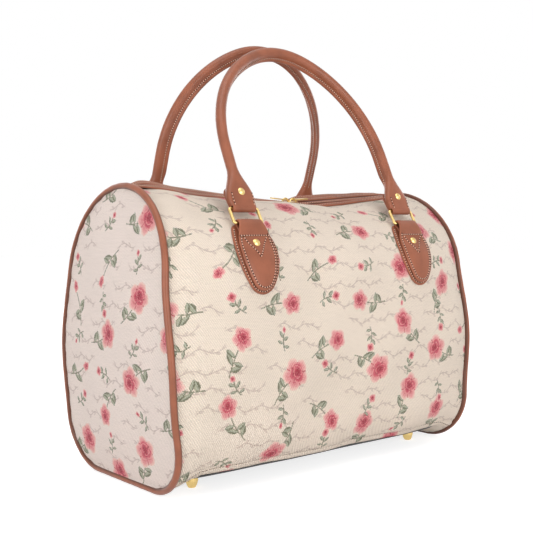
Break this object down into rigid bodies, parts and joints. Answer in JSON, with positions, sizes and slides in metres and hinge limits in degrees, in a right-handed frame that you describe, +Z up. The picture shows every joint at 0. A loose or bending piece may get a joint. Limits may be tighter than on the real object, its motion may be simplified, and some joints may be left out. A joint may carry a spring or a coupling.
{
  "type": "holdall",
  "caption": "Soft tapestry holdall with arched ends, leather piping, a zipped top and a pair of rolled leather handles that swing on brass rings.",
  "frame": {"origin": "middle of the footprint, on the surface that the feet stand on", "axes": "+X along the bag's length, -Y out of the front, +Z up"},
  "size_m": [0.4428, 0.246, 0.4744],
  "materials": {
    "tapestry": "woven tapestry",
    "leather": "satin smooth",
    "brass": "polished",
    "lining": "plain weave",
    "zip_tape": "fine woven tape",
    "zip_teeth": "satin",
    "board": "matte board"
  },
  "bodies": {
    "bag": {"base_board": "board", "end_panel_left": "tapestry", "end_panel_right": "tapestry", "foot_front_left": "brass", "foot_front_right": "brass", "foot_rear_left": "brass", "foot_rear_right": "brass", "lining_end_left": "lining", "lining_end_right": "lining", "lining_wrap": "lining", "main_panel": "tapestry", "piping_left": "leather", "piping_right": "leather", "tab_backing_front_left": "leather", "tab_backing_front_right": "leather", "tab_backing_rear_left": "leather", "tab_backing_rear_right": "leather", "tab_leaf_front_left": "leather", "tab_leaf_front_right": "leather", "tab_leaf_rear_left": "leather", "tab_leaf_rear_right": "leather", "tab_rivet_front_left": "brass", "tab_rivet_front_right": "brass", "tab_rivet_rear_left": "brass", "tab_rivet_rear_right": "brass", "zip_facing_front": "leather", "zip_facing_rear": "leather", "zip_tape_front": "zip_tape", "zip_tape_rear": "zip_tape", "zip_teeth_front": "zip_teeth", "zip_teeth_rear": "zip_teeth"},
    "front_rings": {"ring_front_left": "brass", "ring_front_right": "brass"},
    "rear_rings": {"ring_rear_left": "brass", "ring_rear_right": "brass"},
    "front_handle": {"handle_front": "leather", "handle_rivet_front_left": "brass", "handle_rivet_front_right": "brass"},
    "rear_handle": {"handle_rear": "leather", "handle_rivet_rear_left": "brass", "handle_rivet_rear_right": "brass"},
    "slider_left": {"zip_slider_left": "brass"},
    "slider_right": {"zip_slider_right": "brass"},
    "pull_left": {"zip_pull_left": "brass"},
    "pull_right": {"zip_pull_right": "brass"}
  },
  "joints": [
    {"name": "front_ring_swing", "type": "hinge", "parent": "bag", "child": "front_rings", "pos_m": [0, -0.09627, 0.26544], "axis": [1, 0, 0], "range_deg": [0, 120]},
    {"name": "front_handle_swing", "type": "hinge", "parent": "front_rings", "child": "front_handle", "pos_m": [0, -0.08731, 0.28036], "axis": [1, 0, 0], "range_deg": [0, 50]},
    {"name": "rear_ring_swing", "type": "hinge", "parent": "bag", "child": "rear_rings", "pos_m": [0, 0.09627, 0.26544], "axis": [-1, 0, 0], "range_deg": [0, 120]},
    {"name": "rear_handle_swing", "type": "hinge", "parent": "rear_rings", "child": "rear_handle", "pos_m": [0, 0.08731, 0.28036], "axis": [-1, 0, 0], "range_deg": [0, 50]},
    {"name": "slider_left_run", "type": "slide", "parent": "bag", "child": "slider_left", "axis": [-0.9977, 0, 0.0676], "range_m": [0, 0.206]},
    {"name": "pull_left_lift", "type": "hinge", "parent": "slider_left", "child": "pull_left", "pos_m": [0.01434, -0.00068, 0.2947], "axis": [0.0094, 0.9903, 0.1389], "range_deg": [0, 100]},
    {"name": "slider_right_run", "type": "slide", "parent": "bag", "child": "slider_right", "axis": [0.9966, 0, 0.0822], "range_m": [0, 0.167]},
    {"name": "pull_right_lift", "type": "hinge", "parent": "slider_right", "child": "pull_right", "pos_m": [0.02558, -0.00068, 0.29478], "axis": [0.0114, -0.9903, -0.1387], "range_deg": [0, 100]}
  ]
}
